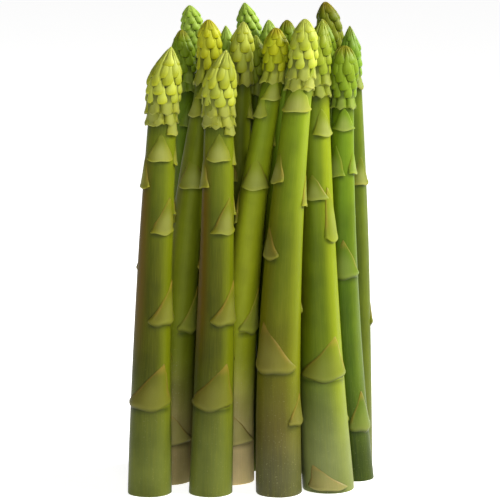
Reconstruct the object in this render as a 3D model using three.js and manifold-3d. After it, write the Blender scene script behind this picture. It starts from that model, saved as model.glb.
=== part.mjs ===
// Bundle of asparagus: eighteen spears standing together on their cut ends.
// Units are millimetres, +Z is up and the front of the bundle faces -Y.
// Azimuths are in degrees round a spear: 0 faces the front and 90 faces +X.

import * as THREE from "three";
import Module from "manifold-3d";

// Middle of the layout below, moved onto the origin.
const BUNDLE_CENTRE = [1.05, 33.3];

// Every spear: node name, base [x, y], x at half height, head [x, y], x of the tip, height,
// radii [base, neck, head over its scales], length of the head, how full the stem stays going up,
// azimuth that its rule starts from, scales in a ring of the head, rings, place of the last ring as a
// fraction of the head's length, outline of the tip, and the scale leaves that are placed one by one.
// A scale leaf is [height of its lip, azimuth, half width, length, azimuth its point leans by].
const POINTED = [2.2, 0.85]; // powers of the head's outline above its widest part
const ROUNDED = [2.6, 0.7];
const BLUNT = [3, 0.6];
const DOMED = [4, 0.5];
const FRONT_PAIR_LEAVES = [
  [42, -12, 76, 20, 52],
  [81, 42, 56, 19, 38],
  [122.5, 27, 47, 16, 24],
  [130, 112, 30, 12, 0],
  [143, -80, 46, 14, 10],
  [153, 100, 36, 13, 0],
  [155.5, 3, 50, 12, 0],
  [167, 58, 36, 11, 0],
  [171.5, -45, 46, 11, 6],
  [60, 165, 60, 19, -20],
  [104, -150, 52, 17, 15],
  [150, 175, 44, 13, 0],
];
const INNER_PAIR_LEAVES = [
  [20.5, 10, 56, 14, -12],
  [74, 48, 46, 20, 30],
  [141, 5, 64, 14, -20],
  [174, -42, 44, 11, 0],
  [182, 12, 56, 10, 0],
  [48, -140, 56, 19, 12],
  [100, 172, 54, 17, -10],
  [124, -98, 44, 15, 0],
  [160, 130, 46, 12, 0],
];
const SPEARS = [
  {
    name: "spear_front_1", base: [-46.5, 0], middle: -43.4, head: [-39.3, 0], tip: -35.4,
    height: 206.5, radii: [10.2, 6.5, 7.9], headLength: 34, fullness: 1.0, turn: -65,
    scales: 7, rings: 6, lastRing: 0.62, taper: POINTED,
    leaves: FRONT_PAIR_LEAVES,
  },
  {
    name: "spear_front_2", base: [-18.2, 0], middle: -15.4, head: [-14, 0], tip: -10.6,
    height: 205, radii: [10.2, 6.5, 7.7], headLength: 34, fullness: 1.0, turn: -60,
    scales: 7, rings: 6, lastRing: 0.62, taper: POINTED,
    leaves: FRONT_PAIR_LEAVES,
  },
  {
    name: "spear_front_3", base: [13.2, 0], middle: 15.4, head: [23, 3], tip: 24.7,
    height: 218.7, radii: [10.7, 5.7, 6.3], headLength: 31, fullness: 1.5, turn: 35,
    scales: 6, rings: 6, lastRing: 0.7, taper: BLUNT,
    leaves: [
      [33.5, 66, 42, 14, 6],
      [59, -22, 70, 22, -34],
      [110.5, -72, 52, 14, 4],
      [134, 96, 42, 14, -16],
      [145, -74, 50, 13, 18],
      [177.5, -8, 74, 12, 6],
      [188, 52, 40, 9, 0],
      [84, 150, 58, 19, 14],
      [160, 178, 52, 13, 0],
    ],
  },
  {
    name: "spear_front_4", base: [36.5, 8], middle: 31, head: [30, 19], tip: 33,
    height: 217.4, radii: [12, 6, 6.8], headLength: 34, fullness: 1.2, turn: 20,
    scales: 6, rings: 6, lastRing: 0.65, taper: POINTED,
    leaves: [
      [2, 0, 44, 11, -34],
      [53.5, 8, 70, 19, 34],
      [117, 76, 48, 24, -34],
      [136, -2, 42, 11, -12],
      [165, 44, 54, 12, -20],
      [30, 160, 60, 19, 10],
      [86, -160, 56, 19, -10],
      [126, 172, 48, 15, 0],
      [150, -112, 46, 13, 0],
    ],
  },
  {
    name: "spear_second_1", base: [-39, 22.5], middle: -30.5, head: [-19.5, 12], tip: -18.9,
    height: 217.7, radii: [11.6, 4.7, 5.6], headLength: 28, fullness: 1.0, turn: 15,
    scales: 6, rings: 5, lastRing: 0.75, taper: BLUNT,
    leaves: INNER_PAIR_LEAVES,
  },
  {
    name: "spear_second_2", base: [-9.5, 22.5], middle: -2.4, head: [10, 7], tip: 11.7,
    height: 214.4, radii: [11.6, 4.6, 5.8], headLength: 24, fullness: 1.0, turn: 0,
    scales: 5, rings: 5, lastRing: 0.68, taper: BLUNT,
    leaves: INNER_PAIR_LEAVES,
  },
  {
    name: "spear_second_3", base: [12.5, 29], middle: 12.5, head: [16.5, 18], tip: 16.9,
    height: 217.2, radii: [9.3, 4.9, 5.6], headLength: 28, fullness: 1.0, turn: 70,
    scales: 5, rings: 5, lastRing: 0.65, taper: BLUNT,
  },
  {
    name: "spear_second_4", base: [33, 36], middle: 32, head: [34.5, 34], tip: 33.5,
    height: 216.5, radii: [9.3, 4.7, 5.2], headLength: 28, fullness: 1.0, turn: 100,
    scales: 5, rings: 5, lastRing: 0.65, taper: ROUNDED,
  },
  {
    name: "spear_second_5", base: [50.2, 26.5], middle: 43.5, head: [43, 24], tip: 43.3,
    height: 205, radii: [8.6, 5, 6.4], headLength: 28, fullness: 1.0, turn: 45,
    scales: 6, rings: 5, lastRing: 0.55, taper: DOMED,
    leaves: [
      [25, 40, 54, 18, 6],
      [98, 6, 72, 17, -6],
      [145, -46, 56, 14, 10],
      [146, 74, 46, 11, -14],
      [166.5, 4, 60, 10, 0],
      [60, -150, 58, 19, 8],
      [124, 168, 52, 15, 0],
    ],
  },
  {
    name: "spear_third_1", base: [-44.5, 50], middle: -38, head: [-27.2, 37], tip: -28,
    height: 222.5, radii: [8.6, 5, 5.7], headLength: 32, fullness: 1.0, turn: 130,
    scales: 7, rings: 9, lastRing: 0.86, taper: BLUNT,
  },
  {
    name: "spear_third_2", base: [-25.5, 42], middle: -30, head: [-30.3, 24], tip: -31.4,
    height: 212.3, radii: [8.5, 5, 5.4], headLength: 28, fullness: 1.0, turn: 200,
    scales: 5, rings: 6, lastRing: 0.7, taper: BLUNT,
  },
  {
    name: "spear_third_3", base: [-2.5, 44], middle: -5, head: [-4.3, 17], tip: -2.9,
    height: 216.3, radii: [8.5, 4.9, 5.6], headLength: 28, fullness: 1.0, turn: 250,
    scales: 5, rings: 5, lastRing: 0.7, taper: ROUNDED,
  },
  {
    name: "spear_third_4", base: [20, 50], middle: 9.5, head: [3.5, 27], tip: 2.6,
    height: 209.5, radii: [8.3, 4.6, 5.1], headLength: 27, fullness: 1.0, turn: 300,
    scales: 5, rings: 5, lastRing: 0.65, taper: ROUNDED,
  },
  {
    name: "spear_third_5", base: [50.5, 44.5], middle: 50, head: [47.3, 37], tip: 46.2,
    height: 213, radii: [8.3, 4.7, 5], headLength: 28, fullness: 1.0, turn: 340,
    scales: 5, rings: 5, lastRing: 0.62, taper: POINTED,
  },
  {
    name: "spear_fourth_1", base: [-31.4, 62], middle: -21.2, head: [-11.4, 26], tip: -11.1,
    height: 214, radii: [8.3, 4.5, 4.9], headLength: 26, fullness: 1.0, turn: 30,
    scales: 5, rings: 5, lastRing: 0.6, taper: POINTED,
  },
  {
    name: "spear_fourth_2", base: [-12, 61], middle: -8, head: [-0.5, 41], tip: -2.5,
    height: 223.5, radii: [8.6, 5.3, 6.1], headLength: 35, fullness: 1.0, turn: 80,
    scales: 7, rings: 9, lastRing: 0.86, taper: ROUNDED,
  },
  {
    name: "spear_fourth_3", base: [5, 69], middle: 5, head: [9.2, 34], tip: 8.7,
    height: 216.1, radii: [8.3, 4.5, 5], headLength: 26, fullness: 1.0, turn: 150,
    scales: 5, rings: 5, lastRing: 0.65, taper: ROUNDED,
  },
  {
    name: "spear_fourth_4", base: [30, 64], middle: 34, head: [37.8, 46], tip: 35.2,
    height: 223.6, radii: [8.6, 5.1, 5.9], headLength: 28, fullness: 1.0, turn: 220,
    scales: 5, rings: 5, lastRing: 0.72, taper: BLUNT,
  },
];

// Form shared by all spears.
const SEED = 41;
const STEM_SIDES = { listed: 12, ruled: 10 }; // for spears with leaves listed, and by the rule
const STEM_LEVELS = [0, 0.18, 0.38, 0.58, 0.79, 1];
const HEAD_FRACTION = 0.88; // height at which the head's place is given
const TIP_START = 0.9; // height above which the tip leaves the curve of the stem
const TIP_POWER = 1.5;
const HEAD_WIDEST = 0.4; // fraction of the head's length

// Leaves that follow the rule: fractions of the stem's height, then sizes from foot to neck.
const GOLDEN_TURN = 137.5;
const RULE_HEIGHTS = [0.16, 0.38, 0.58, 0.76, 0.91];
const RULE_HALF_WIDTH = [54, 50];
const RULE_LENGTH = [21, 10];
const TURN_JITTER = 14;
const HEIGHT_JITTER = 0.02;

// Shape of a leaf: lifts of its lip, its flared corners and its sides, dip of the lip, place of its root.
const LEAF_LIFT = 1.25;
const LEAF_CORNER_LIFT = 0.8;
const LEAF_EDGE_LIFT = 0.3;
const LEAF_CREST_LIFT = 0.8;
const LEAF_TIP_LIFT = 0.12;
const WIDE_LEAF = 56; // half width in degrees
const LOWEST_LEAF_POINT = 0.4;
const LEAF_DIP = 0.08;
const LEAF_MID_HEIGHT = 0.48;
const LEAF_MID_WIDTH = 0.6;
const LEAF_ROOT = { radius: 0.45, height: 0.4 };
const AIR_GAP = 0.35; // least gap to the next spear
const LEAST_LIFT = 0.05; // of a leaf pressed against the next spear

// Head: rings of scales, each ring set over the gaps of the ring below it and turned a little.
const SCALE_FIRST = 0.03; // lip of the first ring, as a fraction of the head's length
const SCALE_CROWDING = 0.92; // rings lie closer together towards the tip
const SCALE_DEPTH = 1.35;
const SCALE_DEPTH_SHARE = 0.3; // most that the depth takes of a thin head's radius
const SCALE_GAP_DEPTH = 0.7; // share of the depth lost between two scales of a ring
const SCALE_DIP = 0.36; // how far a lip dips and rises, times the spacing of the rings
const SCALE_TUCK = 0.75; // how far the surface goes up again behind a lip
const SCALE_TWIST = 7;
const SCALE_LIFT_JITTER = 0.3;
const SCALE_HEIGHT_JITTER = 0.5;
const CROWN_ROWS = [0.4, 0.75]; // up the long last scales, from their lips to the tip
const CROWN_GROOVE = 0.35; // share of the depth lost between two of them
const HEAD_ROOT = { depth: 3.5, radius: 0.88 };
const STEM_POINT = 9; // length of the stem's point inside the head

const SLIVER = 0.12; // edges shorter than this are merged after the pieces are joined
const STEM_GREEN = 0x8a9a45;
const WAXY_ROUGHNESS = 0.55;

const wasm = await Module();
wasm.setup();

const radians = THREE.MathUtils.degToRad;
const mix = THREE.MathUtils.lerp;

// Seeded random numbers from 0 to 1, the same on every run.
function randomNumbers(seed) {
  let state = seed;
  return () => {
    state = (state * 1664525 + 1013904223) % 4294967296;
    return state / 4294967296;
  };
}

// x of the curve through the spear's base, middle and head, as a fraction u of its height.
function curveX(spear, u) {
  const atBase = ((u - 0.5) * (u - HEAD_FRACTION)) / (0.5 * HEAD_FRACTION);
  const atMiddle = (u * (u - HEAD_FRACTION)) / (0.5 * (0.5 - HEAD_FRACTION));
  const atHead = (u * (u - 0.5)) / (HEAD_FRACTION * (HEAD_FRACTION - 0.5));
  return spear.base[0] * atBase + spear.middle * atMiddle + spear.head[0] * atHead;
}

// Centre of the spear's round section at a height.
function axisAt(spear, z) {
  const u = z / spear.height;
  const tipShare = Math.max(0, (u - TIP_START) / (1 - TIP_START)) ** TIP_POWER;
  const x = curveX(spear, u) + (spear.tip - curveX(spear, 1)) * tipShare;
  return [x, mix(spear.base[1], spear.head[1], u)];
}

// Radius of the spear at a height, over its head scales.
function outerRadius(spear, z) {
  const [base, neck, head] = spear.radii;
  const neckHeight = spear.height - spear.headLength;
  if (z <= neckHeight) {
    return neck + (base - neck) * (1 - (z / neckHeight) ** spear.fullness);
  }
  const v = (z - neckHeight) / spear.headLength;
  if (v < HEAD_WIDEST) {
    return mix(neck, head, THREE.MathUtils.smoothstep(v, 0, HEAD_WIDEST));
  }
  const s = Math.min(1, (v - HEAD_WIDEST) / (1 - HEAD_WIDEST));
  return head * (1 - s ** spear.taper[0]) ** spear.taper[1];
}

// A point at an azimuth and height, a distance from the spear's centre line.
function pointAt(spear, azimuth, z, radius) {
  const [x, y] = axisAt(spear, z);
  const a = radians(azimuth);
  return [x + radius * Math.sin(a), y - radius * Math.cos(a), z];
}

// Lift that a leaf may have there without touching the next spear.
function roomAt(spear, azimuth, z) {
  const [x, y] = pointAt(spear, azimuth, z, outerRadius(spear, z));
  let room = Infinity;
  for (const other of SPEARS) {
    if (other === spear || z > other.height) continue;
    const [ox, oy] = axisAt(other, z);
    room = Math.min(room, Math.hypot(x - ox, y - oy) - outerRadius(other, z));
  }
  return Math.max(LEAST_LIFT, (room - AIR_GAP) / 2);
}

// A closed body from its points and triangles, which face out.
function solid(points, triangles) {
  const geometry = new THREE.BufferGeometry();
  geometry.setAttribute("position", new THREE.Float32BufferAttribute(points.flat(), 3));
  geometry.setIndex(triangles.flat());
  return new wasm.Manifold(
    new wasm.Mesh({
      numProp: 3,
      vertProperties: geometry.attributes.position.array,
      triVerts: new Uint32Array(geometry.index.array),
    }),
  );
}

// Closes a patch of surface with a fan from its border to a root point inside the spear.
function rootedPatch(points, faces, border, root) {
  const rootIndex = points.length;
  const fan = border.map((from, i) => [border[(i + 1) % border.length], from, rootIndex]);
  return solid([...points, root], [...faces, ...fan]);
}

// A closed body from rings of points, low to high, shut by a point at the foot and one at the top.
function ringBody(rings, footPoint, topPoint) {
  const sides = rings[0].length;
  const points = rings.flat();
  const foot = points.push(footPoint) - 1;
  const top = points.push(topPoint) - 1;
  const lastRing = (rings.length - 1) * sides;
  const faces = [];
  for (let side = 0; side < sides; side++) {
    const next = (side + 1) % sides;
    faces.push([foot, next, side], [top, lastRing + side, lastRing + next]);
    for (let ring = 0; ring < lastRing; ring += sides) {
      const [a, b] = [ring + side, ring + next];
      faces.push([a, b, b + sides], [a, b + sides, a + sides]);
    }
  }
  return solid(points, faces);
}

// Stem from its flat cut end up into the foot of the head.
function stemBody(spear) {
  const neckHeight = spear.height - spear.headLength;
  const sides = spear.leaves ? STEM_SIDES.listed : STEM_SIDES.ruled;
  const rings = STEM_LEVELS.map((u) =>
    Array.from({ length: sides }, (_, side) => {
      const z = u * neckHeight;
      return pointAt(spear, (360 * side) / sides, z, outerRadius(spear, z));
    }),
  );
  const top = pointAt(spear, 0, neckHeight + STEM_POINT, 0);
  return ringBody(rings, [...spear.base, 0], top);
}

// Scale leaf pressed to the stem: a shield pointing up, with a thick lip that stands off below.
// A wide leaf has more points, because it bends farther round the stem.
function scaleLeaf(spear, [z, azimuth, halfWidth, length, lean]) {
  const at = (across, up, lift) => {
    const a = azimuth + across * halfWidth + lean * Math.max(0, up);
    const height = Math.max(LOWEST_LEAF_POINT, z + up * length);
    const allowed = Math.min(lift, roomAt(spear, a, height));
    return pointAt(spear, a, height, outerRadius(spear, height) + allowed);
  };
  const left = at(-1, LEAF_DIP, LEAF_CORNER_LIFT);
  const lip = at(0, -LEAF_DIP, LEAF_LIFT);
  const right = at(1, LEAF_DIP, LEAF_CORNER_LIFT);
  const crest = at(0, LEAF_MID_HEIGHT, LEAF_CREST_LIFT);
  const tip = at(0, 1, LEAF_TIP_LIFT);
  const rootHeight = z + LEAF_ROOT.height * length;
  const root = pointAt(spear, azimuth, rootHeight, LEAF_ROOT.radius * outerRadius(spear, rootHeight));
  if (halfWidth < WIDE_LEAF) {
    const faces = [[0, 1, 4], [1, 2, 4], [2, 3, 4], [3, 0, 4]];
    return rootedPatch([left, lip, right, tip, crest], faces, [0, 1, 2, 3], root);
  }
  const points = [
    left,
    at(-0.5, 0, LEAF_LIFT),
    lip,
    at(0.5, 0, LEAF_LIFT),
    right,
    at(-LEAF_MID_WIDTH, LEAF_MID_HEIGHT, LEAF_EDGE_LIFT),
    crest,
    at(LEAF_MID_WIDTH, LEAF_MID_HEIGHT, LEAF_EDGE_LIFT),
    tip,
  ];
  const faces = [
    [0, 1, 5], [1, 2, 6], [1, 6, 5], [2, 3, 6], [3, 7, 6], [3, 4, 7], [5, 6, 8], [6, 7, 8],
  ];
  return rootedPatch(points, faces, [0, 1, 2, 3, 4, 7, 8, 5], root);
}

// Head: for each ring of scales a row tucked in behind the lips and a row along the lips, then the
// grooved rows of the long scales that close over the tip.
function headBody(spear, random) {
  const neckHeight = spear.height - spear.headLength;
  const columns = 2 * spear.scales;
  const lipHeight = (ring) => {
    const share = (ring / (spear.rings - 1)) ** SCALE_CROWDING;
    return neckHeight + mix(SCALE_FIRST, spear.lastRing, share) * spear.headLength;
  };
  const azimuthOf = (ring, column) => spear.turn + (360 * column) / columns + ring * SCALE_TWIST;
  const depthOf = (outer) => Math.min(SCALE_DEPTH, SCALE_DEPTH_SHARE * outer);
  const footHeight = neckHeight - HEAD_ROOT.depth;
  const footRadius = HEAD_ROOT.radius * spear.radii[1];
  const rows = [
    Array.from({ length: columns }, (_, c) => pointAt(spear, azimuthOf(0, c), footHeight, footRadius)),
  ];
  for (let ring = 0; ring < spear.rings; ring++) {
    const spacing = lipHeight(ring + 1) - lipHeight(ring);
    const tucked = [];
    const lips = [];
    for (let column = 0; column < columns; column++) {
      const onScale = (column + ring) % 2 === 0;
      const azimuth = azimuthOf(ring, column);
      const dip = (onScale ? -SCALE_DIP : SCALE_DIP) * spacing;
      const lipZ = lipHeight(ring) + dip + (random() - 0.5) * SCALE_HEIGHT_JITTER;
      const outer = outerRadius(spear, lipZ);
      const depth = depthOf(outer);
      const lift = onScale ? (random() - 0.5) * SCALE_LIFT_JITTER : -SCALE_GAP_DEPTH * depth;
      lips.push(pointAt(spear, azimuth, lipZ, outer + lift));
      const tuck = SCALE_TUCK * (depth / SCALE_DEPTH) ** 2;
      tucked.push(pointAt(spear, azimuth, lipZ + tuck, outer - depth));
    }
    rows.push(tucked, lips);
  }
  const last = spear.rings - 1;
  for (const share of CROWN_ROWS) {
    const z = mix(lipHeight(last), spear.height, share);
    const outer = outerRadius(spear, z);
    rows.push(
      Array.from({ length: columns }, (_, column) => {
        const groove = (column + last) % 2 === 0 ? 0 : CROWN_GROOVE * depthOf(outer);
        return pointAt(spear, azimuthOf(last, column), z, outer - groove);
      }),
    );
  }
  const foot = pointAt(spear, 0, footHeight, 0);
  return ringBody(rows, foot, pointAt(spear, 0, spear.height, 0));
}

// Leaves of a spear that has no list of its own, spiralling up the stem.
function ruledLeaves(spear, random) {
  const neckHeight = spear.height - spear.headLength;
  return RULE_HEIGHTS.map((u, i) => {
    const azimuth = spear.turn + i * GOLDEN_TURN + (random() - 0.5) * TURN_JITTER;
    const height = (u + (random() - 0.5) * HEIGHT_JITTER) * neckHeight;
    return [height, azimuth, mix(...RULE_HALF_WIDTH, u), mix(...RULE_LENGTH, u), 0];
  });
}

// One spear as one closed body.
function spearMesh(spear, index) {
  const random = randomNumbers(SEED + index);
  const leaves = spear.leaves ?? ruledLeaves(spear, random);
  const body = wasm.Manifold.union([
    stemBody(spear),
    headBody(spear, random),
    ...leaves.map((leaf) => scaleLeaf(spear, leaf)),
  ]).simplify(SLIVER);
  const joined = body.getMesh();
  const geometry = new THREE.BufferGeometry();
  geometry.setAttribute("position", new THREE.BufferAttribute(joined.vertProperties, 3));
  geometry.setIndex(new THREE.BufferAttribute(joined.triVerts, 1));
  geometry.computeVertexNormals();
  const material = new THREE.MeshStandardMaterial({
    name: spear.name,
    color: STEM_GREEN,
    roughness: WAXY_ROUGHNESS,
  });
  const mesh = new THREE.Mesh(geometry, material);
  mesh.name = spear.name;
  return mesh;
}

const bundle = new THREE.Group();
bundle.name = "asparagus_bundle";
bundle.add(...SPEARS.map(spearMesh));
bundle.position.set(-BUNDLE_CENTRE[0], -BUNDLE_CENTRE[1], 0);

export default bundle;
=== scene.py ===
"""Looks of the bundle of asparagus: each packed spear is replaced by a finer one of the same form.

The layout below is in millimetres, with +Z up and the front of the bundle facing -Y, and is turned
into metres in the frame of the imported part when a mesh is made. Azimuths are in degrees round a
spear: 0 faces the front and 90 faces +X.
"""

import logging
import math
from dataclasses import dataclass, field
from enum import Enum

import bpy
import numpy as np
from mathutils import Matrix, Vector


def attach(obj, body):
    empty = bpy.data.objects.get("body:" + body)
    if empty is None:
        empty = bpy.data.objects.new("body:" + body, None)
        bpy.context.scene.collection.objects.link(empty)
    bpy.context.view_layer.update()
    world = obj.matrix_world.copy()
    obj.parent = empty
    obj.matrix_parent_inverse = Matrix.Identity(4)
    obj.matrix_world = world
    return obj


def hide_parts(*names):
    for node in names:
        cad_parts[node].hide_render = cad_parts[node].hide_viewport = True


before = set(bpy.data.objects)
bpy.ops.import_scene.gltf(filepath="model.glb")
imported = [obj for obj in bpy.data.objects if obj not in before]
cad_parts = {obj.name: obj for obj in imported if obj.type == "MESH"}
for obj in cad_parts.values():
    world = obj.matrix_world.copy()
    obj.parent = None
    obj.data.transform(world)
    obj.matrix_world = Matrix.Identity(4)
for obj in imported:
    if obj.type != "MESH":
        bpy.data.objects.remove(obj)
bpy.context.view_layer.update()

LOG = logging.getLogger("asparagus")

MM = 0.001
BUNDLE_CENTRE = (1.05, 33.3)

Colour = tuple[float, float, float]
Grid = np.ndarray


# Form of the spears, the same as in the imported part

SEED = 41
GOLDEN_TURN = 137.5
HEAD_FRACTION = 0.88
TIP_START = 0.9
TIP_POWER = 1.5
HEAD_WIDEST = 0.4
POINTED = (2.2, 0.85)
ROUNDED = (2.6, 0.7)
BLUNT = (3.0, 0.6)
DOMED = (4.0, 0.5)

RULE_HEIGHTS = (0.16, 0.38, 0.58, 0.76, 0.91)
RULE_HALF_WIDTH = (54.0, 50.0)
RULE_LENGTH = (21.0, 10.0)
TURN_JITTER = 14.0
HEIGHT_JITTER = 0.02

LEAF_LIFT = 1.25
LEAF_DIP = 0.035
LEAF_WOBBLE = 0.05
LEAF_WOBBLE_RATE = 9
LEAF_LOWEST = 0.4
LIP_WAVE = 0.025
LIP_WAVE_RATE = 5
PHASE_RANGE = (0, 6)
SOFT_SHARE = 0.62
SOFT_DROP = 0.05
AIR_GAP = 0.35
LEAST_LIFT = 0.05

SCALE_FIRST = 0.03
SCALE_CROWDING = 0.92
SCALE_DEPTH = 1.35
SCALE_DEPTH_SHARE = 0.3
SCALE_DIP = 0.36
SCALE_TWIST = 7.0
SCALE_LIFT_JITTER = 0.3
SCALE_HEIGHT_JITTER = 0.5
SCALE_REACH = 2.5
SCALE_OVERLAP = 1.1
SCALE_LENGTHS = (0.94, 1.04)
SCALE_WIDTHS = (0.95, 1.05)
SCALE_LEANS = (-5, 5)
SCALE_TOP_GAP = 0.15

BRACT_REACH = 3.1
BRACT_OVERLAP = 1.14
BRACT_DIP = 0.16
BRACT_CUSP = 1.3
BRACT_TINT = 0.2
BRACT_LIFT = 0.7
BRACT_SIZES = (0.88, 1.12)
BRACT_LEANS = (-10, 10)

CROWN_REACH = (0.97, 0.94)
CROWN_START = 0.3
CROWN_SCALES = 5
CROWN_SINK = -0.3
CROWN_OVERLAP = 1.15
CROWN_TURNS = (-12, 12)
CROWN_LENGTHS = (0.9, 1.0)

# Where the core changes, each as a start and a width, in shares of the head's length

DEPTH_ONSET = (-0.02, 0.1)
RIPPLE_END = (-0.05, 0.1)
TIP_ONSET = (0.75, 0.15)
CORE_TOP = 0.985
CORE_TIP_GAP = 0.2
TIP_UP = 0.45

# Shade under the lips, with lengths in millimetres and the rest in shares of a leaf

SHADE_LENGTH = 3.5
SHADE_ABOVE = 0.5
SHADE_SIDE = (0.75, 0.4)
HEAD_SHADE_LENGTH = 9.0
CREVICE_LENGTH = 9.0
BRACT_SHADE = (0.32, 0.14)


@dataclass(frozen=True)
class Leaf:
    """One scale leaf on a stem: height of its lip, azimuth, half width, length and lean of its point."""

    lip: float
    azimuth: float
    half_width: float
    length: float
    lean: float = 0.0


FRONT_PAIR_LEAVES = (
    Leaf(42, -12, 76, 20, 52),
    Leaf(81, 42, 56, 19, 38),
    Leaf(122.5, 27, 47, 16, 24),
    Leaf(130, 112, 30, 12),
    Leaf(143, -80, 46, 14, 10),
    Leaf(153, 100, 36, 13),
    Leaf(155.5, 3, 50, 12),
    Leaf(167, 58, 36, 11),
    Leaf(171.5, -45, 46, 11, 6),
    Leaf(60, 165, 60, 19, -20),
    Leaf(104, -150, 52, 17, 15),
    Leaf(150, 175, 44, 13),
)
INNER_PAIR_LEAVES = (
    Leaf(20.5, 10, 56, 14, -12),
    Leaf(74, 48, 46, 20, 30),
    Leaf(141, 5, 64, 14, -20),
    Leaf(174, -42, 44, 11),
    Leaf(182, 12, 56, 10),
    Leaf(48, -140, 56, 19, 12),
    Leaf(100, 172, 54, 17, -10),
    Leaf(124, -98, 44, 15),
    Leaf(160, 130, 46, 12),
)
THIRD_FRONT_LEAVES = (
    Leaf(33.5, 66, 42, 14, 6),
    Leaf(59, -22, 70, 22, -34),
    Leaf(110.5, -72, 52, 14, 4),
    Leaf(134, 96, 42, 14, -16),
    Leaf(145, -74, 50, 13, 18),
    Leaf(177.5, -8, 74, 12, 6),
    Leaf(188, 52, 40, 9),
    Leaf(84, 150, 58, 19, 14),
    Leaf(160, 178, 52, 13),
)
FOURTH_FRONT_LEAVES = (
    Leaf(2, 0, 44, 11, -34),
    Leaf(53.5, 8, 70, 19, 34),
    Leaf(117, 76, 48, 24, -34),
    Leaf(136, -2, 42, 11, -12),
    Leaf(165, 44, 54, 12, -20),
    Leaf(30, 160, 60, 19, 10),
    Leaf(86, -160, 56, 19, -10),
    Leaf(126, 172, 48, 15),
    Leaf(150, -112, 46, 13),
)
RIGHT_LEAVES = (
    Leaf(25, 40, 54, 18, 6),
    Leaf(98, 6, 72, 17, -6),
    Leaf(145, -46, 56, 14, 10),
    Leaf(146, 74, 46, 11, -14),
    Leaf(166.5, 4, 60, 10),
    Leaf(60, -150, 58, 19, 8),
    Leaf(124, 168, 52, 15),
)


class Tone(Enum):
    """Colouring of a spear, which picks one of the skins. Some pairs of tones are copies of one colouring,
    one darker as painted shade and the other brighter as painted light.
    """

    PALE_SHADED = "pale"
    PALE_LIT = "central"
    GREEN = "green"
    GOLDEN_SHADED = "golden_shaded"
    GOLDEN_LIT = "golden_lit"
    DARK = "dark"
    FRESH = "fresh"
    OLIVE = "olive"
    BRONZE = "bronze"


@dataclass(frozen=True)
class SpearForm:
    """Driving sizes of one spear, in millimetres and degrees.

    radii are those of the base, the neck and the head over its scales. last_ring is the place of
    the last ring of scales as a share of the head's length, and taper holds the powers of the
    head's outline above its widest part.
    """

    node: str
    base: tuple[float, float]
    middle: float
    head: tuple[float, float]
    tip: float
    height: float
    radii: tuple[float, float, float]
    head_length: float
    fullness: float
    turn: float
    scales: int
    rings: int
    last_ring: float
    taper: tuple[float, float]
    tone: Tone
    leaves: tuple[Leaf, ...] = ()

    @property
    def bract_rings(self) -> int:
        """Number of the lowest rings of the head that are broad bracts."""
        return 2 if self.rings == 6 else 1

    @property
    def neck_height(self) -> float:
        """Height at which the stem ends and the head begins."""
        return self.height - self.head_length

    def centre(self, z: Grid) -> tuple[Grid, Grid]:
        """Gives the centre line: a parabola through base, middle and head, bent to the tip on top.

        Args:
            z: Heights.

        Returns:
            The x and y of the centre line at those heights.
        """
        u = np.asarray(z, float) / self.height

        def parabola(w: Grid) -> Grid:
            at_base = (w - 0.5) * (w - HEAD_FRACTION) / (0.5 * HEAD_FRACTION)
            at_middle = w * (w - HEAD_FRACTION) / (0.5 * (0.5 - HEAD_FRACTION))
            at_head = w * (w - 0.5) / (HEAD_FRACTION * (HEAD_FRACTION - 0.5))
            return self.base[0] * at_base + self.middle * at_middle + self.head[0] * at_head

        tip_share = np.clip((u - TIP_START) / (1 - TIP_START), 0, None) ** TIP_POWER
        x = parabola(u) + (self.tip - parabola(np.float64(1.0))) * tip_share
        y = self.base[1] + (self.head[1] - self.base[1]) * u
        return x, y

    def radius(self, z: Grid) -> Grid:
        """Gives the radius over the head scales: a taper up the stem, then a bulging, pointed head.

        Args:
            z: Heights.

        Returns:
            Radii at those heights.
        """
        z = np.asarray(z, float)
        base, neck, head = self.radii
        on_stem = neck + (base - neck) * (1 - np.clip(z / self.neck_height, 0, 1) ** self.fullness)
        v = (z - self.neck_height) / self.head_length
        rise = smoothstep(v / HEAD_WIDEST)
        lower = neck + (head - neck) * rise
        s = np.clip((v - HEAD_WIDEST) / (1 - HEAD_WIDEST), 0, 1)
        upper = head * (1 - s ** self.taper[0]) ** self.taper[1]
        return np.where(v <= 0, on_stem, np.where(v < HEAD_WIDEST, lower, upper))

    def point(self, azimuth: Grid, z: Grid, radius: Grid) -> Grid:
        """Places points round the centre line.

        Args:
            azimuth: Azimuths in degrees.
            z: Heights.
            radius: Distances from the centre line.

        Returns:
            Array of points whose last axis is x, y, z.
        """
        x, y = self.centre(z)
        a = np.radians(azimuth)
        z = np.broadcast_to(z, np.shape(a))
        return np.stack([x + radius * np.sin(a), y - radius * np.cos(a), z], axis=-1)


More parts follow.
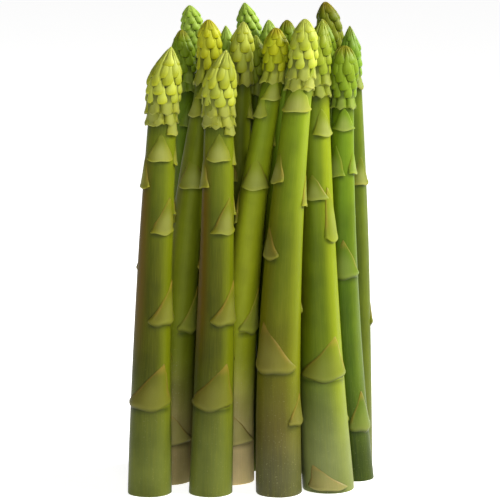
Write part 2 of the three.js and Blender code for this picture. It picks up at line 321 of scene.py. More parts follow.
SPEARS = (
    SpearForm("spear_front_1", (-46.5, 0), -43.4, (-39.3, 0), -35.4, 206.5, (10.2, 6.5, 7.9), 34,
              1.0, -65, 7, 6, 0.62, POINTED, Tone.PALE_SHADED, FRONT_PAIR_LEAVES),
    SpearForm("spear_front_2", (-18.2, 0), -15.4, (-14, 0), -10.6, 205, (10.2, 6.5, 7.7), 34,
              1.0, -60, 7, 6, 0.62, POINTED, Tone.PALE_SHADED, FRONT_PAIR_LEAVES),
    SpearForm("spear_front_3", (13.2, 0), 15.4, (23, 3), 24.7, 218.7, (10.7, 5.7, 6.3), 31,
              1.5, 35, 6, 6, 0.7, BLUNT, Tone.PALE_LIT, THIRD_FRONT_LEAVES),
    SpearForm("spear_front_4", (36.5, 8), 31, (30, 19), 33, 217.4, (12, 6, 6.8), 34,
              1.2, 20, 6, 6, 0.65, POINTED, Tone.GREEN, FOURTH_FRONT_LEAVES),
    SpearForm("spear_second_1", (-39, 22.5), -30.5, (-19.5, 12), -18.9, 217.7, (11.6, 4.7, 5.6), 28,
              1.0, 15, 6, 5, 0.75, BLUNT, Tone.GOLDEN_SHADED, INNER_PAIR_LEAVES),
    SpearForm("spear_second_2", (-9.5, 22.5), -2.4, (10, 7), 11.7, 214.4, (11.6, 4.6, 5.8), 24,
              1.0, 0, 5, 5, 0.68, BLUNT, Tone.GOLDEN_LIT, INNER_PAIR_LEAVES),
    SpearForm("spear_second_3", (12.5, 29), 12.5, (16.5, 18), 16.9, 217.2, (9.3, 4.9, 5.6), 28,
              1.0, 70, 5, 5, 0.65, BLUNT, Tone.DARK),
    SpearForm("spear_second_4", (33, 36), 32, (34.5, 34), 33.5, 216.5, (9.3, 4.7, 5.2), 28,
              1.0, 100, 5, 5, 0.65, ROUNDED, Tone.DARK),
    SpearForm("spear_second_5", (50.2, 26.5), 43.5, (43, 24), 43.3, 205, (8.6, 5, 6.4), 28,
              1.0, 45, 6, 5, 0.55, DOMED, Tone.DARK, RIGHT_LEAVES),
    SpearForm("spear_third_1", (-44.5, 50), -38, (-27.2, 37), -28, 222.5, (8.6, 5, 5.7), 32,
              1.0, 130, 7, 9, 0.86, BLUNT, Tone.FRESH),
    SpearForm("spear_third_2", (-25.5, 42), -30, (-30.3, 24), -31.4, 212.3, (8.5, 5, 5.4), 28,
              1.0, 200, 5, 6, 0.7, BLUNT, Tone.DARK),
    SpearForm("spear_third_3", (-2.5, 44), -5, (-4.3, 17), -2.9, 216.3, (8.5, 4.9, 5.6), 28,
              1.0, 250, 5, 5, 0.7, ROUNDED, Tone.PALE_SHADED),
    SpearForm("spear_third_4", (20, 50), 9.5, (3.5, 27), 2.6, 209.5, (8.3, 4.6, 5.1), 27,
              1.0, 300, 5, 5, 0.65, ROUNDED, Tone.GREEN),
    SpearForm("spear_third_5", (50.5, 44.5), 50, (47.3, 37), 46.2, 213, (8.3, 4.7, 5), 28,
              1.0, 340, 5, 5, 0.62, POINTED, Tone.OLIVE),
    SpearForm("spear_fourth_1", (-31.4, 62), -21.2, (-11.4, 26), -11.1, 214, (8.3, 4.5, 4.9), 26,
              1.0, 30, 5, 5, 0.6, POINTED, Tone.FRESH),
    SpearForm("spear_fourth_2", (-12, 61), -8, (-0.5, 41), -2.5, 223.5, (8.6, 5.3, 6.1), 35,
              1.0, 80, 7, 9, 0.86, ROUNDED, Tone.FRESH),
    SpearForm("spear_fourth_3", (5, 69), 5, (9.2, 34), 8.7, 216.1, (8.3, 4.5, 5), 26,
              1.0, 150, 5, 5, 0.65, ROUNDED, Tone.FRESH),
    SpearForm("spear_fourth_4", (30, 64), 34, (37.8, 46), 35.2, 223.6, (8.6, 5.1, 5.9), 28,
              1.0, 220, 5, 5, 0.72, BLUNT, Tone.BRONZE),
)


class SeededNumbers:
    """Random numbers from 0 to 1 by a linear congruential rule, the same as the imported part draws."""

    MULTIPLIER = 1664525
    INCREMENT = 1013904223
    MODULUS = 2**32

    def __init__(self, seed: int) -> None:
        self.state = seed

    def draw(self) -> float:
        """Gives the next number."""
        self.state = (self.state * self.MULTIPLIER + self.INCREMENT) % self.MODULUS
        return self.state / self.MODULUS


def smoothstep(u: Grid) -> Grid:
    """Rises smoothly from 0 at 0 to 1 at 1."""
    u = np.clip(u, 0, 1)
    return u * u * (3 - 2 * u)


def ramp(value: Grid, start: float, width: float) -> Grid:
    """Rises smoothly from 0 at a start to 1 a width further on."""
    return smoothstep((value - start) / width)


def scale_depth(radius: Grid) -> Grid:
    """Gives how deep the core of the head lies under its scales: a share of the radius, capped."""
    return np.minimum(SCALE_DEPTH, SCALE_DEPTH_SHARE * radius)


def mix(pair: tuple[float, float], share: float) -> float:
    """Gives the number that lies at a share of the way from the first of a pair to the second."""
    return pair[0] + (pair[1] - pair[0]) * share


def room_at(form: SpearForm, azimuth: Grid, z: Grid) -> Grid:
    """Finds the lift that a leaf may have without touching the next spear.

    It is half of the distance from the spear's own surface to the nearest other surface at the
    same height, less the air gap.

    Args:
        form: The spear that the leaf grows on.
        azimuth: Azimuths of the points.
        z: Heights of the points.

    Returns:
        Lifts at those points.
    """
    own = form.point(azimuth, z, form.radius(z))
    nearest = np.full(own.shape[:-1], np.inf)
    for other in SPEARS:
        if other is form:
            continue
        x, y = other.centre(z)
        gap = np.hypot(own[..., 0] - x, own[..., 1] - y) - other.radius(z)
        nearest = np.where(z > other.height, nearest, np.minimum(nearest, gap))
    return np.maximum(LEAST_LIFT, (nearest - AIR_GAP) / 2)


# Meshes

@dataclass
class SurfaceBuilder:
    """Collects closed grids of points into one mesh, with the values that its material reads."""

    points: list[Grid] = field(default_factory=list)
    quads: list[Grid] = field(default_factory=list)
    triangles: list[Grid] = field(default_factory=list)
    values: dict[str, list[Grid]] = field(default_factory=dict)
    count: int = 0

    def add(self, points: Grid, quads: Grid, triangles: Grid, values: dict[str, Grid]) -> None:
        """Adds a closed body.

        Args:
            points: Points in millimetres, one a row.
            quads: Corner numbers of its four-sided faces.
            triangles: Corner numbers of its three-sided faces.
            values: For each value that the material reads, one number or vector a point.
        """
        self.points.append(points)
        self.quads.append(quads + self.count)
        self.triangles.append(triangles + self.count)
        for name, numbers in values.items():
            self.values.setdefault(name, []).append(numbers)
        self.count += len(points)

    def mesh(self, name: str) -> bpy.types.Mesh:
        """Makes the Blender mesh in metres, smooth, with its values as point attributes.

        Args:
            name: Name of the mesh.

        Returns:
            The mesh.
        """
        offset = np.array([*BUNDLE_CENTRE, 0.0])
        points = (np.concatenate(self.points) - offset) * MM
        quads = np.concatenate(self.quads)
        triangles = np.concatenate(self.triangles)
        corners = np.concatenate([quads.ravel(), triangles.ravel()])
        starts = np.concatenate([
            np.arange(len(quads)) * 4,
            len(quads) * 4 + np.arange(len(triangles)) * 3,
        ])
        mesh = bpy.data.meshes.new(name)
        mesh.vertices.add(len(points))
        mesh.vertices.foreach_set("co", points.astype(np.float32).ravel())
        mesh.loops.add(len(corners))
        mesh.loops.foreach_set("vertex_index", corners.astype(np.int32))
        mesh.polygons.add(len(starts))
        mesh.polygons.foreach_set("loop_start", starts.astype(np.int32))
        mesh.polygons.foreach_set("use_smooth", np.ones(len(starts), bool))
        mesh.update(calc_edges=True)
        mesh.validate()
        for key, parts in self.values.items():
            numbers = np.concatenate(parts).astype(np.float32)
            kind, slot = ("FLOAT_VECTOR", "vector") if numbers.ndim == 2 else ("FLOAT", "value")
            mesh.attributes.new(key, kind, "POINT").data.foreach_set(slot, numbers.ravel())
        return mesh


def tube_faces(rows: int, columns: int) -> tuple[Grid, Grid]:
    """Numbers the faces of a tube of rows of points, shut by one more point at each end.

    Args:
        rows: Rows of points, low to high.
        columns: Points in a row.

    Returns:
        Quads of the wall, and triangles of the two ends, all facing out.
    """
    index = np.arange(rows * columns).reshape(rows, columns)
    after = np.roll(index, -1, axis=1)
    quads = np.stack([index[:-1], after[:-1], after[1:], index[1:]], axis=-1).reshape(-1, 4)
    foot = np.full(columns, rows * columns)
    top = foot + 1
    ends = [np.stack([foot, after[0], index[0]], axis=-1), np.stack([top, index[-1], after[-1]], axis=-1)]
    return quads, np.concatenate(ends)


def sheet_faces(rows: int, columns: int) -> Grid:
    """Numbers the faces of a closed sheet: an outer grid, an inner grid and the wall round them.

    Args:
        rows: Rows of points in each grid, low to high.
        columns: Points in a row, left to right as seen from outside.

    Returns:
        Quads, all facing out of the sheet.
    """
    outer = np.arange(rows * columns).reshape(rows, columns)
    inner = outer + rows * columns
    front = np.stack([outer[:-1, :-1], outer[:-1, 1:], outer[1:, 1:], outer[1:, :-1]], axis=-1)
    back = np.stack([inner[:-1, :-1], inner[1:, :-1], inner[1:, 1:], inner[:-1, 1:]], axis=-1)
    walls = []
    borders = [
        (outer[0], inner[0]),
        (outer[:, -1], inner[:, -1]),
        (outer[-1, ::-1], inner[-1, ::-1]),
        (outer[::-1, 0], inner[::-1, 0]),
    ]
    for near, far in borders:
        walls.append(np.stack([near[:-1], far[:-1], far[1:], near[1:]], axis=-1))
    return np.concatenate([front.reshape(-1, 4), back.reshape(-1, 4), *walls])


@dataclass(frozen=True)
class SheetShape:
    """Section of a leaf or head scale, from its lip to its point.

    Each tuple holds one number for each of the places in `places`: the height as a share of the
    length, the width and the lift as shares of the largest, and the share of the lift that the
    edges keep. underside is the place up to which the lip is shaded from below.
    """

    places: tuple[float, ...]
    heights: tuple[float, ...]
    widths: tuple[float, ...]
    lifts: tuple[float, ...]
    edges: tuple[float, ...]
    rows: int
    columns: int
    edge_power: float
    sunk: float
    underside: float = 0.12

    def sections(self) -> tuple[Grid, Grid, Grid]:
        """Gives the heights, widths and lifts of the rows, in columns that broadcast over a grid."""
        place = np.linspace(0, 1, self.rows)[:, None]
        heights, widths, lifts = (
            np.interp(place, self.places, numbers) for numbers in (self.heights, self.widths, self.lifts)
        )
        return heights, widths, lifts

    def across(self) -> tuple[Grid, Grid]:
        """Gives the places across a row from -1 to 1, and the share of the lift that each keeps."""
        side = np.linspace(-1, 1, self.columns)[None, :]
        place = np.linspace(0, 1, self.rows)[:, None]
        edge = np.interp(place, self.places, self.edges)
        return side, edge + (1 - edge) * (1 - np.abs(side) ** self.edge_power)


LEAF_SHAPE = SheetShape(
    places=(0, 0.07, 0.14, 0.22, 0.34, 0.55, 0.8, 1),
    heights=(0.05, 0.0, -0.01, 0.02, 0.12, 0.42, 0.78, 1),
    widths=(0.9, 0.98, 1, 0.99, 0.93, 0.7, 0.32, 0.03),
    lifts=(-0.3, 0.65, 1.1, 1.15, 0.85, 0.5, 0.22, 0.05),
    edges=(0.8, 0.8, 0.75, 0.65, 0.4, 0.25, 0.3, 0.5),
    rows=16, columns=15, edge_power=3.0, sunk=0.5,
)
SOFT_LEAF_SHAPE = SheetShape(
    places=(0, 0.08, 0.16, 0.24, 0.34, 0.55, 0.8, 1),
    heights=(-0.08, -0.03, 0.02, 0.08, 0.18, 0.46, 0.79, 1),
    widths=(0.78, 0.92, 1, 0.98, 0.88, 0.6, 0.26, 0.03),
    lifts=(-0.3, 0.35, 0.9, 1.1, 0.85, 0.5, 0.25, 0.15),
    edges=(0.2, 0.45, 0.7, 0.65, 0.45, 0.3, 0.35, 0.5),
    rows=17, columns=15, edge_power=2.6, sunk=0.5, underside=0.22,
)
SCALE_SHAPE = SheetShape(
    places=(0, 0.08, 0.16, 0.26, 0.38, 0.5, 0.68, 0.85, 1),
    heights=(0.03, 0.0, 0.03, 0.09, 0.18, 0.3, 0.54, 0.79, 1),
    widths=(0.1, 0.26, 0.55, 0.8, 0.96, 0.95, 0.6, 0.27, 0.03),
    lifts=(-0.35, 0.55, 1.0, 1.3, 1.4, 1.25, 0.85, 0.66, 0.55),
    edges=(0.3, 0.3, 0.28, 0.22, 0.12, 0.08, 0.15, 0.35, 0.6),
    rows=15, columns=11, edge_power=2.5, sunk=0.5,
)
BRACT_SHAPE = SheetShape(
    places=(0, 0.07, 0.14, 0.22, 0.34, 0.5, 0.7, 0.86, 1),
    heights=(0.05, 0.0, -0.01, 0.03, 0.13, 0.32, 0.6, 0.82, 1),
    widths=(0.72, 0.88, 0.96, 1, 0.96, 0.84, 0.55, 0.28, 0.03),
    lifts=(-0.3, 0.8, 1.3, 1.35, 1.1, 0.75, 0.5, 0.4, 0.3),
    edges=(0.6, 0.6, 0.55, 0.45, 0.3, 0.3, 0.4, 0.5, 0.6),
    rows=15, columns=11, edge_power=2.6, sunk=0.5,
)


@dataclass
class Spear:
    """One grown spear: stem, scale leaves and head, as one mesh."""

    form: SpearForm
    number: int
    columns: int = 54
    stem_rows: int = 150
    head_rows: int = 26
    cut_rings: tuple[float, ...] = (0.25, 0.5, 0.75, 0.92)
    edge_round: float = 0.35
    edge_height: float = 0.1
    edge_share: float = 0.25
    ripple: float = 0.13
    tip_radius: float = 0.25
    sunk_share: float = 0.4

    def __post_init__(self) -> None:
        self.numbers = SeededNumbers(SEED + self.number)
        self.extra = np.random.default_rng(SEED + 100 + self.number)
        self.builder = SurfaceBuilder()
        self.leaves = self.form.leaves or self.ruled_leaves()

    def flow(self, azimuth: Grid, z: Grid) -> Grid:
        """Gives the vector that streaks are drawn in: round the spear in x and y, up it in z."""
        a = np.radians(azimuth)
        return np.stack([np.sin(a), np.cos(a), np.broadcast_to(z / self.form.height, a.shape)], axis=-1)

    def values(self, azimuth: Grid, z: Grid, **given: Grid) -> dict[str, Grid]:
        """Fills in every value that the material reads, 0 where none is given.

        Args:
            azimuth: Azimuths of the points, in a grid.
            z: Heights of the points.
            given: Values that aren't 0, by name.

        Returns:
            Flattened values by name.
        """
        made = {"flow": self.flow(azimuth, z).reshape(-1, 3)}
        for name in ("leaf", "scale", "cut", "up", "side", "tint", "under", "shade"):
            made[name] = np.broadcast_to(given.get(name, 0.0), azimuth.shape).ravel().astype(float)
        return made

    def head_share(self, z: Grid) -> Grid:
        """Gives heights as shares of the head's length, counted from the neck."""
        return (z - self.form.neck_height) / self.form.head_length

    def rings(self) -> tuple[Grid, Grid]:
        """Gives the heights and radii of the core's rings, from the middle of the cut end to the tip.

        The radius is the form's, less the depth of the scales on the head. The edge of the cut end
        is rounded by two rings.
        """
        form = self.form
        base = form.radii[0]
        edge = len(self.cut_rings)
        stem_z = np.linspace(self.edge_round, form.neck_height, self.stem_rows)
        head_z = form.neck_height + form.head_length * np.linspace(0, CORE_TOP, self.head_rows)[1:]
        z = np.concatenate([np.zeros(edge + 1), [self.edge_height], stem_z, head_z])
        outer = form.radius(z)
        depth = scale_depth(outer) * ramp(self.head_share(z), *DEPTH_ONSET)
        radius = np.maximum(self.tip_radius, outer - depth)
        radius[:edge] = base * np.array(self.cut_rings)
        radius[edge] = base - self.edge_round
        radius[edge + 1] = base - self.edge_round * self.edge_share
        return z, radius

    def ripples(self, azimuth: Grid, z: Grid) -> Grid:
        """Gives low ripples, a sum of sines of azimuth and height whose phases are drawn."""
        a = np.radians(azimuth)
        phase = self.extra.uniform(0, 2 * math.pi, 3)
        three_sided = np.sin(3 * a + phase[0] + z / 38)
        five_sided = np.sin(5 * a + phase[1] - z / 27)
        swelling = np.sin(z / 17 + phase[2])
        return (three_sided + 0.7 * five_sided + 0.6 * swelling) * self.ripple

    def core(self) -> None:
        """Adds the stem and the core of the head.

        Rings of points go from the middle of the cut end out to its edge, up the stem and over the
        head. The ripples fade out at the neck, and the tip takes the colours of a scale.
        """
        form = self.form
        heights, radii = self.rings()
        rows = len(heights)
        z = heights[:, None]
        on_cut = (np.arange(rows) <= len(self.cut_rings))[:, None]
        azimuth = np.linspace(0, 360, self.columns, endpoint=False)[None, :]
        azimuth = np.broadcast_to(azimuth, (rows, self.columns))
        share = self.head_share(z)
        wall = ~on_cut * (1 - ramp(share, *RIPPLE_END))
        radius = radii[:, None] + self.ripples(azimuth, z) * wall
        grid = form.point(azimuth, z, radius)
        x, y = form.centre(np.float64(form.height))
        ends = np.array([[*form.base, 0.0], [x, y, form.height - CORE_TIP_GAP]])
        tip = ramp(share, *TIP_ONSET)
        # Painted shade: above the bracts the head's core is darkened, standing for the shade between the
        # scales.
        core_shade = ramp(z, self.lip_height(form.bract_rings) - CREVICE_LENGTH / 2, CREVICE_LENGTH)
        shade = self.shade(azimuth, z) * ~on_cut
        values = self.values(azimuth, z, cut=on_cut, side=core_shade * (1 - tip), scale=tip, up=TIP_UP * tip,
                             shade=shade)
        at_top = np.array([0.0, 1.0])
        end_values = self.values(np.zeros(2), at_top * form.height, cut=1 - at_top, scale=at_top,
                                 up=TIP_UP * at_top)
        merged = {name: np.concatenate([values[name], end_values[name]]) for name in values}
        quads, triangles = tube_faces(rows, self.columns)
        self.builder.add(np.concatenate([grid.reshape(-1, 3), ends]), quads, triangles, merged)

    def sheet(
        self, shape: SheetShape, azimuth: Grid, z: Grid, lift: Grid, under: Grid, **given: Grid,
    ) -> None:
        """Adds a closed sheet whose outer grid stands off the spear and whose inner grid is sunk.

        Args:
            shape: Section of the sheet.
            azimuth: Azimuths of the grid.
            z: Heights of the grid.
            lift: Lifts of the outer grid over `under`.
            under: Radius that the sheet stands on.
            given: Values for the material, by name.
        """
        outer = self.form.point(azimuth, z, under + lift)
        inner = self.form.point(azimuth, z, under - np.minimum(shape.sunk, self.sunk_share * under))
        place = np.linspace(0, 1, shape.rows)[:, None]
        # Painted shade on the underside of the lip, read by the material.
        values = self.values(azimuth, z, under=1 - ramp(place, 0, shape.underside), **given)
        both = {name: np.concatenate([numbers, numbers]) for name, numbers in values.items()}
        points = np.concatenate([outer.reshape(-1, 3), inner.reshape(-1, 3)])
        self.builder.add(points, sheet_faces(shape.rows, shape.columns), np.empty((0, 3), int), both)

    def is_soft(self, leaf: Leaf) -> bool:
        """Tells whether a leaf sits low on the stem, where lips swell softly out of the skin."""
        return leaf.lip < SOFT_SHARE * self.form.neck_height

    def leaf(self, leaf: Leaf) -> None:
        """Adds one scale leaf: a shield pressed to the stem, pointing up, with a thick lip below.

        The azimuth goes across from one side of the shield to the other and leans with height. The
        lip dips in the middle by a parabola that fades towards the point.
        """
        shape = SOFT_LEAF_SHAPE if self.is_soft(leaf) else LEAF_SHAPE
        up, width, lift = shape.sections()
        side, keep = shape.across()
        wobble = 1 + LEAF_WOBBLE * np.sin(LEAF_WOBBLE_RATE * up + self.extra.uniform(*PHASE_RANGE))
        across = side * width * wobble * leaf.half_width
        azimuth = leaf.azimuth + across + leaf.lean * np.clip(up, 0, None)
        wave = LIP_WAVE * np.sin(LIP_WAVE_RATE * side + self.extra.uniform(*PHASE_RANGE))
        dip = (LEAF_DIP * (2 * side**2 - 1) + wave) * (1 - up) ** 2
        z = np.maximum(LEAF_LOWEST, leaf.lip + leaf.length * (up + dip))
        raised = np.minimum(LEAF_LIFT * lift * keep, room_at(self.form, azimuth, z))
        raised = np.where(lift < 0, LEAF_LIFT * lift, raised)
        self.sheet(shape, azimuth, z, raised, self.form.radius(z), leaf=1.0, up=np.clip(up, 0, 1),
                   side=np.abs(side), tint=self.extra.uniform(0, 1))

    def shade(self, azimuth: Grid, z: Grid) -> Grid:
        """Finds how dark the skin is under the lips of the leaves.

        The dark band is deepest at the lip and fades out below it and beyond the sides of the leaf.
        A longer one fades out below the head.

        Args:
            azimuth: Azimuths of the points.
            z: Heights of the points.

        Returns:
            Numbers from 0 to 1.
        """
        dark = np.zeros(azimuth.shape)
        for leaf in self.leaves:
            away = np.abs((azimuth - leaf.azimuth + 180) % 360 - 180) / leaf.half_width
            drop = SOFT_DROP * leaf.length if self.is_soft(leaf) else 0
            below = leaf.lip - drop + SHADE_ABOVE - z
            band = np.where(below < 0, 0, 1 - ramp(below, 0, SHADE_LENGTH))
            dark = np.maximum(dark, band * (1 - ramp(away, *SHADE_SIDE)))
        below_head = self.lip_height(0) - z
        return np.maximum(dark, 1 - ramp(below_head, 0, HEAD_SHADE_LENGTH))

    def ruled_leaves(self) -> tuple[Leaf, ...]:
        """Places the leaves of a spear that has no list of its own, spiralling up the stem."""
        leaves = []
        for i, u in enumerate(RULE_HEIGHTS):
            azimuth = self.form.turn + i * GOLDEN_TURN + (self.numbers.draw() - 0.5) * TURN_JITTER
            height = (u + (self.numbers.draw() - 0.5) * HEIGHT_JITTER) * self.form.neck_height
            leaves.append(Leaf(height, azimuth, mix(RULE_HALF_WIDTH, u), mix(RULE_LENGTH, u)))
        return tuple(leaves)

    def lip_height(self, ring: float) -> float:
        """Gives the height of the lips of a ring of head scales."""
        share = (ring / (self.form.rings - 1)) ** SCALE_CROWDING
        return self.form.neck_height + mix((SCALE_FIRST, self.form.last_ring), share) * self.form.head_length

    def head(self) -> None:
        """Adds the crown of long scales that close over the tip, then the rings of head scales.

        Each ring stands over the gaps of the ring below it. The scales of the last two rings reach
        up to the tip.
        """
        form = self.form
        columns = 2 * form.scales
        last = form.rings - 1
        self.crown()
        for ring in range(form.rings):
            spacing = self.lip_height(ring + 1) - self.lip_height(ring)
            for column in range(columns):
                height_draw = self.numbers.draw() - 0.5
                if (column + ring) % 2:
                    continue
                lift_draw = self.numbers.draw() - 0.5
                azimuth = form.turn + 360 * column / columns + ring * SCALE_TWIST
                lip = self.lip_height(ring) - SCALE_DIP * spacing + height_draw * SCALE_HEIGHT_JITTER
                length = SCALE_REACH * spacing
                if ring >= last - 1:
                    length = max(length, CROWN_REACH[last - ring] * (form.height - lip))
                lift = lift_draw * SCALE_LIFT_JITTER
                if ring < form.bract_rings:
                    self.bract(lip, azimuth, BRACT_REACH * spacing, lift)
                else:
                    self.head_scale(lip, azimuth, length, lift)

    def bract(self, lip: float, azimuth: float, length: float, lift: float) -> None:
        """Adds one of the broad, flatter scales at the foot of the head, which have flared lips.

        Its lip has a cusp that points down in the middle, and corners that turn down a little.

        Args:
            lip: Height of its lip.
            azimuth: Azimuth of its middle.
            length: Length from lip to point.
            lift: Extra lift.
        """
        form = self.form
        shape = BRACT_SHAPE
        up, width, section = shape.sections()
        side, keep = shape.across()
        half_width = 180 / form.scales * BRACT_OVERLAP * self.extra.uniform(*BRACT_SIZES)
        turned = azimuth + side * width * half_width + self.extra.uniform(*BRACT_LEANS) * up
        rise = np.minimum(np.abs(side), BRACT_CUSP - np.abs(side))
        dip = BRACT_DIP * (rise - BRACT_CUSP / 4) * (1 - up) ** 2
        z = lip + length * self.extra.uniform(*BRACT_SIZES) * (up + dip)
        outer = form.radius(z)
        depth = scale_depth(outer)
        raised = (depth + BRACT_LIFT + lift) * section * keep
        raised = np.minimum(raised, depth + room_at(form, turned, z))
        self.sheet(shape, turned, z, raised, outer - depth, leaf=1.0, scale=BRACT_TINT, up=np.clip(up, 0, 1),
                   side=np.abs(side), tint=self.extra.uniform(0, 1), shade=ramp(up, *BRACT_SHADE))

    def crown(self) -> None:
        """Adds a few inner scales that fill the tip between the long scales of the last rings."""
        form = self.form
        start = mix((self.lip_height(form.rings - 1), form.height), CROWN_START)
        for i in range(CROWN_SCALES):
            azimuth = form.turn + 360 * i / CROWN_SCALES + self.extra.uniform(*CROWN_TURNS)
            length = (form.height - start) * self.extra.uniform(*CROWN_LENGTHS)
            self.head_scale(start, azimuth, length, CROWN_SINK, 180 / CROWN_SCALES * CROWN_OVERLAP)

    def head_scale(
        self, lip: float, azimuth: float, length: float, lift: float, half_width: float | None = None,
    ) -> None:
        """Adds one head scale: a teardrop with a bulging foot and a point that lies on the next ring.

        Args:
            lip: Height of its foot.
            azimuth: Azimuth of its middle.
            length: Length from foot to point.
            lift: Extra lift.
            half_width: Half width in degrees, by default what the ring leaves it.
        """
        form = self.form
        shape = SCALE_SHAPE
        up, width, section = shape.sections()
        side, keep = shape.across()
        length = length * self.extra.uniform(*SCALE_LENGTHS)
        half_width = (half_width or 180 / form.scales) * SCALE_OVERLAP * self.extra.uniform(*SCALE_WIDTHS)
        turned = azimuth + side * width * half_width + self.extra.uniform(*SCALE_LEANS) * up
        z = np.minimum(form.height - SCALE_TOP_GAP, lip + length * up)
        outer = form.radius(z)
        depth = scale_depth(outer)
        raised = (depth + lift) * section * keep
        under = np.maximum(self.tip_radius, outer - depth)
        self.sheet(shape, turned, z, raised, under, scale=1.0, up=np.clip(up, 0, 1), side=np.abs(side),
                   tint=self.extra.uniform(0, 1))

    def build(self) -> bpy.types.Object:
        """Builds the spear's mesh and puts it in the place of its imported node.

        Returns:
            The new object.
        """
        self.core()
        for leaf in self.leaves:
            self.leaf(leaf)
        self.head()
        name = self.form.node.replace("spear", "grown_spear")
        piece = bpy.data.objects.new(name, self.builder.mesh(name))
        bpy.context.scene.collection.objects.link(piece)
        piece.data.materials.append(SpearSkin(self.form.tone).material(name))
        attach(piece, "root")
        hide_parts(self.form.node)
        return piece


# Finishes

@dataclass(frozen=True)
class SkinColours:
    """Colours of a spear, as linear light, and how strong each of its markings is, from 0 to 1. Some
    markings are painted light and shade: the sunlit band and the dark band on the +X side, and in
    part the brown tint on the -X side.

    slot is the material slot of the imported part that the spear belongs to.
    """

    slot: str
    foot: Colour
    stem: Colour
    neck: Colour
    leaf: Colour
    lip: Colour
    scale: Colour
    scale_foot: Colour
    scale_edge: Colour
    # Share of the brown on the -X side, partly real tint and partly painted shade.
    blush_and_shade_share: float = 0.3
    speckles: float = 0.12
    brown_tip: float = 0.0
    low_brown: float = 0.0
    # Share of painted light on the side facing the key light.
    painted_sun_share: float = 0.3
    # Share of painted shadow on the +X side, where a neighbouring spear shades this one.
    painted_shadow_share: float = 0.0


def light(red: int, green: int, blue: int) -> Colour:
    """Turns a display colour of 0 to 255 into linear light."""
    def linear(level: int) -> float:
        share = level / 255
        return share / 12.92 if share <= 0.04045 else ((share + 0.055) / 1.055) ** 2.4
    return (linear(red), linear(green), linear(blue))


CUT_FLESH = light(196, 200, 140)
SPECKLE = light(176, 172, 120)
# Painted shade for lip undersides, the head's core, scale corners and shaded sides; also the dark of the
# stem's mottle and fine grain.
PAINTED_SHADE_AND_MOTTLE = light(18, 30, 6)
# Brown laid on the -X side of the stem, partly real colour and partly painted shade away from the key light;
# also the real low brown band.
BROWN_BLUSH_AND_SHADE = light(88, 68, 6)
# Painted light: the yellow of the stem's side that faces the key light.
PAINTED_SUNLIGHT = light(138, 150, 14)
PINKISH = light(186, 160, 116)
HAZE = light(158, 164, 96)
MARGIN = light(176, 128, 62)
BROWN = light(136, 100, 24)
# Grey-brown of low leaves on their -X side: partly dry colour, partly painted shade.
DRY_BROWN_AND_SHADE = light(104, 84, 36)

SKINS = {
    # Painted shade: this tone is a copy of the next with a darker stem, for the spears that stand in shade.
    Tone.PALE_SHADED: SkinColours(
        slot="spear_pale_head", foot=light(92, 100, 40), stem=light(62, 66, 2), neck=light(88, 100, 16),
        leaf=light(106, 102, 32), lip=light(138, 138, 34), scale=light(178, 186, 74),
        scale_foot=light(158, 162, 30), scale_edge=light(192, 192, 112), blush_and_shade_share=0.9,
    ),
    Tone.PALE_LIT: SkinColours(
        slot="spear_pale_head", foot=light(82, 80, 50), stem=light(82, 92, 6), neck=light(108, 130, 20),
        leaf=light(114, 110, 46), lip=light(150, 148, 44), scale=light(178, 186, 76),
        scale_foot=light(156, 162, 30), scale_edge=light(192, 190, 112), speckles=0.3, low_brown=0.35,
    ),
    Tone.GREEN: SkinColours(
        slot="spear_green", foot=light(112, 120, 70), stem=light(78, 94, 8), neck=light(98, 116, 18),
        leaf=light(104, 110, 32), lip=light(134, 140, 40), scale=light(134, 146, 42),
        scale_foot=light(114, 128, 14), scale_edge=light(160, 166, 80), painted_sun_share=0.55,
    ),
    # Painted shade and painted light: this tone and the next are copies of one colouring, this one with a
    # painted shadow on one side and the next with a brighter stem.
    Tone.GOLDEN_SHADED: SkinColours(
        slot="spear_green", foot=light(172, 154, 104), stem=light(116, 128, 20), neck=light(108, 122, 20),
        leaf=light(128, 134, 50), lip=light(160, 160, 52), scale=light(174, 178, 44),
        scale_foot=light(158, 158, 8), scale_edge=light(190, 176, 72), speckles=0.6, brown_tip=0.35,
        painted_shadow_share=0.4,
    ),
    Tone.GOLDEN_LIT: SkinColours(
        slot="spear_green", foot=light(206, 184, 134), stem=light(154, 164, 30), neck=light(112, 132, 20),
        leaf=light(136, 142, 56), lip=light(164, 166, 56), scale=light(160, 164, 30),
        scale_foot=light(146, 148, 4), scale_edge=light(184, 166, 64), speckles=0.8, brown_tip=0.45,
        painted_sun_share=0.45,
    ),
    Tone.DARK: SkinColours(
        slot="spear_dark", foot=light(44, 58, 12), stem=light(62, 86, 6), neck=light(98, 126, 18),
        leaf=light(96, 116, 30), lip=light(128, 142, 40), scale=light(116, 138, 34),
        scale_foot=light(98, 118, 10), scale_edge=light(148, 152, 66), brown_tip=0.4, painted_sun_share=0.12,
    ),
    Tone.FRESH: SkinColours(
        slot="spear_green", foot=light(116, 120, 58), stem=light(84, 106, 12), neck=light(104, 134, 24),
        leaf=light(120, 140, 42), lip=light(146, 164, 52), scale=light(164, 190, 82),
        scale_foot=light(136, 166, 44), scale_edge=light(188, 202, 116),
    ),
    Tone.OLIVE: SkinColours(
        slot="spear_green", foot=light(90, 98, 40), stem=light(68, 82, 6), neck=light(80, 100, 10),
        leaf=light(106, 106, 34), lip=light(136, 130, 44), scale=light(116, 146, 50),
        scale_foot=light(98, 130, 24), scale_edge=light(150, 164, 80), brown_tip=0.2, painted_sun_share=0.1,
    ),
    Tone.BRONZE: SkinColours(
        slot="spear_dark", foot=light(76, 84, 32), stem=light(66, 82, 6), neck=light(80, 94, 12),
        leaf=light(98, 102, 26), lip=light(126, 122, 36), scale=light(110, 118, 26),
        scale_foot=light(94, 104, 8), scale_edge=light(148, 122, 46), brown_tip=0.4,
    ),
}


